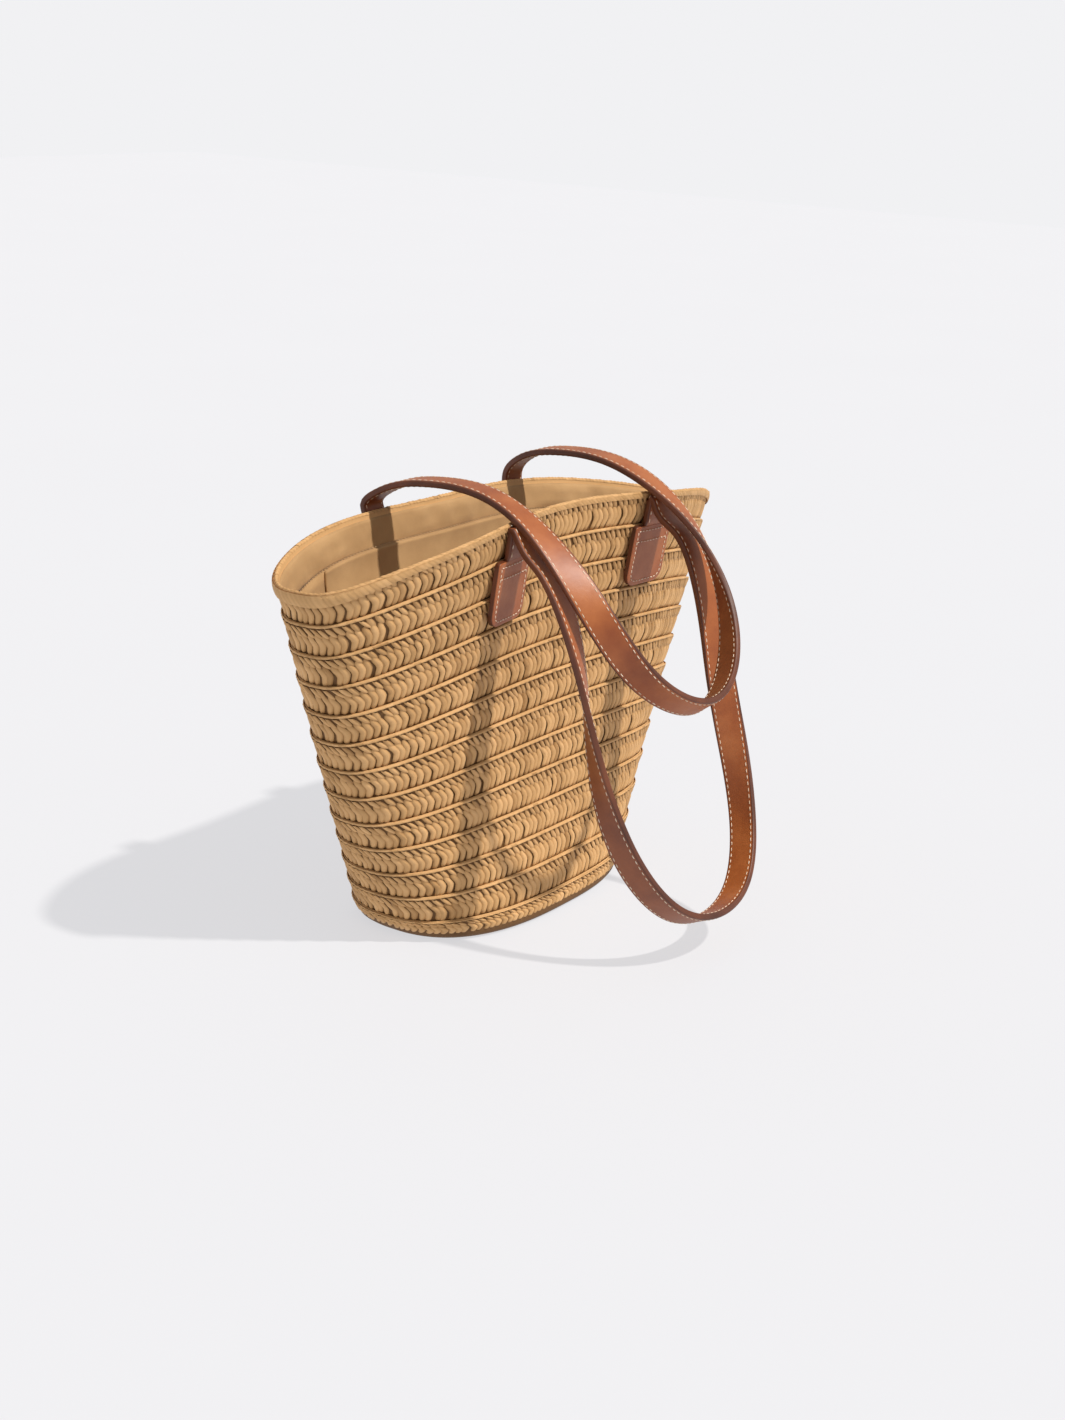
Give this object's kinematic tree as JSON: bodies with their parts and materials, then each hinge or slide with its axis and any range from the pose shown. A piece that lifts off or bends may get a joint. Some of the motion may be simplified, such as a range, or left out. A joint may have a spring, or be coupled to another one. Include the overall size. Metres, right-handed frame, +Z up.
{
  "type": "beach bag",
  "caption": "Woven straw tote bag with an oval base, a flared mouth, a cloth lining, a recessed zip and two long leather shoulder straps sewn on with tabs.",
  "frame": {"origin": "middle of the base, on the ground", "axes": "+X along the mouth, -Y towards the front, +Z up"},
  "size_m": [0.4492, 0.2568, 0.3008],
  "materials": {
    "straw": "woven palm leaf braid",
    "lining": "plain cotton",
    "zip_tape": "woven tape",
    "zip_metal": "brushed",
    "strap_leather": "smooth, stitched"
  },
  "bodies": {
    "bag": {"wall_braid_01": "straw", "wall_braid_02": "straw", "wall_braid_03": "straw", "wall_braid_04": "straw", "wall_braid_05": "straw", "wall_braid_06": "straw", "wall_braid_07": "straw", "wall_braid_08": "straw", "wall_braid_09": "straw", "wall_braid_10": "straw", "wall_braid_11": "straw", "wall_braid_12": "straw", "wall_braid_13": "straw", "base_braid_outer": "straw", "base_braid_middle": "straw", "base_braid_centre": "straw", "rim_lip": "straw", "lining_wall": "lining", "lining_floor": "lining", "lining_facing": "lining", "front_left_tab": "strap_leather", "front_right_tab": "strap_leather", "back_left_tab": "strap_leather", "back_right_tab": "strap_leather", "front_left_strap_end": "strap_leather", "front_right_strap_end": "strap_leather", "back_left_strap_end": "strap_leather", "back_right_strap_end": "strap_leather", "front_left_strap_fold": "strap_leather", "front_right_strap_fold": "strap_leather", "back_left_strap_fold": "strap_leather", "back_right_strap_fold": "strap_leather"},
    "front_strap": {"front_strap_loop": "strap_leather"},
    "back_strap_arms": {"back_left_strap_arm": "strap_leather", "back_right_strap_arm": "strap_leather", "back_left_strap_bend": "strap_leather", "back_right_strap_bend": "strap_leather"},
    "back_strap_loop": {"back_strap_loop": "strap_leather"},
    "back_zip_half": {"back_zip_panel": "lining", "back_zip_tape": "zip_tape", "back_zip_teeth": "zip_metal", "back_zip_stops": "zip_metal"},
    "front_zip_half": {"front_zip_panel": "lining", "front_zip_tape": "zip_tape", "front_zip_teeth": "zip_metal", "front_zip_stops": "zip_metal"},
    "zip_slider": {"zip_slider": "zip_metal"},
    "zip_pull": {"zip_pull": "zip_metal"}
  },
  "joints": [
    {"name": "front_strap_lift", "type": "hinge", "parent": "bag", "child": "front_strap", "pos_m": [0, -0.078, 0.272], "axis": [-1, 0, 0], "range_deg": [0, 150], "deforming": ["front_left_strap_fold", "front_right_strap_fold"]},
    {"name": "back_strap_lift", "type": "hinge", "parent": "bag", "child": "back_strap_arms", "pos_m": [0, 0.046, 0.277], "axis": [-1, 0, 0], "range_deg": [0, 65], "deforming": ["back_left_strap_fold", "back_right_strap_fold"]},
    {"name": "back_strap_unbend", "type": "hinge", "parent": "back_strap_arms", "child": "back_strap_loop", "pos_m": [0, -0.066, 0.286], "axis": [-1, 0, 0], "range_deg": [0, 45], "deforming": ["back_left_strap_bend", "back_right_strap_bend"]},
    {"name": "back_zip_half_fold", "type": "hinge", "parent": "bag", "child": "back_zip_half", "pos_m": [-0.001, 0.0235, 0.226], "axis": [-1, 0, 0], "range_deg": [0, 45]},
    {"name": "front_zip_half_fold", "type": "hinge", "parent": "bag", "child": "front_zip_half", "pos_m": [-0.001, -0.0415, 0.226], "axis": [1, 0, 0], "range_deg": [0, 45]},
    {"name": "zip_slide", "type": "slide", "parent": "back_zip_half", "child": "zip_slider", "axis": [-1, 0, 0], "range_m": [0, 0.245]},
    {"name": "zip_pull_flip", "type": "hinge", "parent": "zip_slider", "child": "zip_pull", "pos_m": [0.12, 0.01925, 0.1955], "axis": [-1, 0, 0], "range_deg": [0, 150]}
  ],
  "couplings": [
    {"joint": "back_strap_lift", "follows": "front_strap_lift", "ratio": 0.433},
    {"joint": "back_strap_unbend", "follows": "front_strap_lift", "ratio": 0.3},
    {"joint": "front_zip_half_fold", "follows": "back_zip_half_fold", "ratio": 1}
  ]
}
